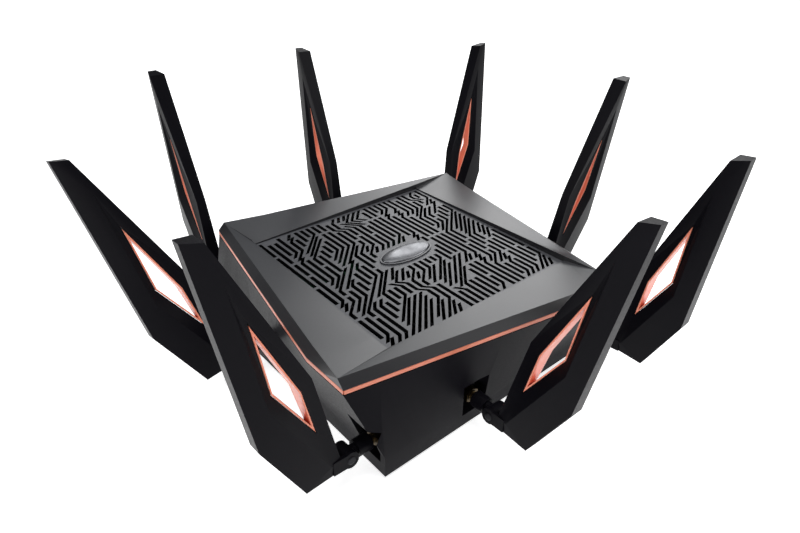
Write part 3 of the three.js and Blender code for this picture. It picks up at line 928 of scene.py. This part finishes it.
@dataclass
class Antenna:
    """One fin antenna: threaded jack, knuckle, blade and the copper lining of its window."""

    dresser: CadDresser
    number: int
    joints: dict[str, dict]
    blade_round: float = 0.55
    trim_round: float = 0.15
    thread_rings: int = 4
    thread_start: float = 16.9
    thread_pitch: float = 0.62
    thread_root: float = 3.05
    thread_crest: float = 3.4

    def build(self) -> None:
        """Dress the antenna's nodes and add its hinge pin and jack thread."""
        dress = self.dresser.dress
        dress(f"antenna_jack_{self.number}", Finish.BRASS, 0.15)
        dress(f"antenna_knuckle_{self.number}", Finish.FIN_ABS, 0.35)
        dress(f"antenna_blade_{self.number}", Finish.FIN_ABS, self.blade_round, 3)
        dress(f"antenna_trim_{self.number}", Finish.COPPER, self.trim_round)
        self.pin_caps()
        self.thread()

    def pin_caps(self) -> None:
        """Add the rounded caps of the tilt pin on both sides of the blade."""
        tilt = self.joints[f"antenna_tilt_{self.number}"]
        axis = Vector(tilt["axis"]).normalized()
        caps = []
        for sign in (-1, 1):
            rings = [(5.9, 2.6), (6.75, 2.6), (7.0, 2.2), (7.1, 1.2)]
            caps.append(turned_rings(f"cap_{sign}", rings, tilt["pos_m"], axis * sign, 28))
        piece = joined(f"antenna_pin_caps_{self.number}", caps)
        soften(piece, 0.12, 2)
        finish_piece(piece, f"antenna_{self.number}", Finish.SCREW)

    def thread(self) -> None:
        """Add the thread that shows between the jack's nut and the knuckle's sleeve."""
        swivel = self.joints[f"antenna_swivel_{self.number}"]
        inward = Vector(swivel["axis"]).normalized()
        rings = []
        for i in range(self.thread_rings):
            start = self.thread_start + i * self.thread_pitch
            root, crest = self.thread_root, self.thread_crest
            rings += [(start, root), (start + 0.3, crest), (start + 0.6, root)]
        piece = turned_rings(
            f"antenna_jack_thread_{self.number}", rings, swivel["pos_m"], inward, 32
        )
        finish_piece(piece, "housing", Finish.BRASS)


# ---- Stage ------------------------------------------------------------------------------------


@dataclass(frozen=True)
class Softbox:
    """One rectangular soft light.

    Attributes:
        name: Its name.
        place: Where it hangs, in metres.
        target: What it points at.
        size: Width and height in metres.
        power: Watts.
    """

    name: str
    place: tuple[float, float, float]
    target: tuple[float, float, float]
    size: tuple[float, float]
    power: float

    def hang(self) -> None:
        """Make the light."""
        lamp = bpy.data.lights.new(self.name, "AREA")
        lamp.shape = "RECTANGLE"
        lamp.size, lamp.size_y = self.size
        lamp.energy = self.power
        holder = bpy.data.objects.new(self.name, lamp)
        holder.location = self.place
        aim = Vector(self.target) - Vector(self.place)
        holder.rotation_euler = aim.to_track_quat("-Z", "Y").to_euler()
        bpy.context.scene.collection.objects.link(holder)


@dataclass(frozen=True)
class Studio:
    """Pale floor, soft light and the camera.

    Attributes:
        eye: The camera's place in metres.
        heading: Degrees from +Y towards +X.
        dip: Degrees below the horizon.
        roll: Turn about the line of sight, radians.
        lens: Focal length in mm on a 36 mm wide frame.
        shift: Sideways and upward shift, as shares of the frame's width.
        floor_radius: Radius of the floor in metres.
        floor_level: Height of the floor, just under the feet, in metres.
        softboxes: The soft lights.
    """

    eye: tuple[float, float, float] = (-0.2625, -0.3000, 0.2980)
    heading: float = 41.46
    dip: float = 31.03
    roll: float = 0.02
    lens: float = 28.41
    shift: tuple[float, float] = (-0.0106, -0.0041)
    floor_radius: float = 30.0
    floor_level: float = -0.0005
    softboxes: tuple[Softbox, ...] = field(
        default=(
            Softbox("back_softbox", (1.55, 1.2, 1.1), (0.0, 0.0, 0.06), (1.2, 1.0), 16.0),
            Softbox("left_softbox", (-1.7, 0.5, 1.1), (0.0, 0.0, 0.05), (0.9, 1.4), 13.0),
            Softbox("top_softbox", (0.1, -0.1, 1.9), (0.0, 0.0, 0.05), (1.2, 1.2), 20.0),
            Softbox("right_softbox", (1.5, -1.2, 0.9), (0.0, 0.0, 0.05), (0.8, 1.2), 14.0),
            Softbox("front_softbox", (-1.1, -1.3, 0.12), (0.0, 0.0, 0.1), (1.2, 0.22), 10.0),
        )
    )

    def build(self) -> None:
        """Set up the floor, the light and the camera."""
        self.floor()
        self.world()
        for softbox in self.softboxes:
            softbox.hang()
        self.camera()

    def floor(self) -> None:
        """Lay a wide white floor that shows in reflections but sends no bounced light."""
        sides = 64
        radius = self.floor_radius
        ring = [2 * math.pi * i / sides for i in range(sides)]
        points = [(radius * math.cos(a), radius * math.sin(a), self.floor_level) for a in ring]
        floor = new_piece("floor", points, [tuple(range(sides))])
        material, tree = blank_material("matt_white_sweep")
        place = add_node(tree, "ShaderNodeTexCoord").outputs["Object"]
        grain = add_node(tree, "ShaderNodeTexNoise", {"Vector": place, "Scale": per_metre(30.0)})
        colour = add_node(
            tree,
            "ShaderNodeMix",
            {0: grain.outputs["Fac"], 6: linear("#f4f4f4"), 7: linear("#fafafa")},
            data_type="RGBA",
        )
        shader = add_node(
            tree,
            "ShaderNodeBsdfPrincipled",
            {
                "Base Color": colour.outputs[2],
                "Roughness": 0.9,
                "Emission Color": linear("#ffffff"),
                "Emission Strength": 0.75,
            },
        )
        close_material(tree, shader)
        floor.data.materials.append(material)
        floor.visible_diffuse = False
        floor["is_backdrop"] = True

    def world(self) -> None:
        """Fill the room with an even pale light."""
        world = bpy.data.worlds.new("studio_air")
        world.use_nodes = True
        world.node_tree.nodes.clear()
        air = add_node(
            world.node_tree,
            "ShaderNodeBackground",
            {"Color": linear("#c8cbd0"), "Strength": 0.22},
        )
        add_node(world.node_tree, "ShaderNodeOutputWorld", {"Surface": air.outputs[0]})
        bpy.context.scene.world = world

    def camera(self) -> None:
        """Place the camera."""
        turn, dip = math.radians(self.heading), math.radians(self.dip)
        ahead = Vector(
            (math.sin(turn) * math.cos(dip), math.cos(turn) * math.cos(dip), -math.sin(dip))
        )
        right = Vector((math.cos(turn), -math.sin(turn), 0.0))
        above = right.cross(ahead)
        c, s = math.cos(self.roll), math.sin(self.roll)
        rolled_right = right * c + above * s
        rolled_above = above * c - right * s
        pose = Matrix((rolled_right, rolled_above, -ahead)).transposed().to_4x4()
        pose.translation = Vector(self.eye)
        camera = bpy.data.cameras.new("camera")
        camera.sensor_width = 36.0
        camera.lens = self.lens
        camera.shift_x, camera.shift_y = self.shift
        camera.clip_start = 0.01
        holder = bpy.data.objects.new("camera", camera)
        holder.matrix_world = pose
        bpy.context.scene.collection.objects.link(holder)
        bpy.context.scene.camera = holder
        bpy.context.scene.view_settings.view_transform = "Standard"


def stated_openings(record: dict) -> dict[str, tuple[Vector, Vector]]:
    """Read the sockets' free spaces from the record.

    Args:
        record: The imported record.

    Returns:
        Each opening's name with its lowest and highest corner, in metres.
    """
    found = record.get("physics", {}).get("openings", [])
    return {o["name"]: (Vector(o["box_m"][0]), Vector(o["box_m"][1])) for o in found}


def main() -> list[list[float]]:
    """Build the looks in order.

    Returns:
        The CAD model's box, as its lowest and highest corners.
    """
    logging.basicConfig(level=logging.INFO, format="%(message)s")
    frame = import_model()
    cad_box = [list(corner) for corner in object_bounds()]
    dresser = CadDresser(frame["nodes"])
    Body(dresser).build()
    TopCover(dresser).build()
    Sockets(dresser, stated_openings(frame["record"])).build()
    Controls(dresser).build()
    joints = {joint["name"]: joint for joint in frame["joints"]}
    for number in range(1, 9):
        Antenna(dresser, number, joints).build()
    Studio().build()
    return cad_box


if __name__ == "__main__":
    box = main()
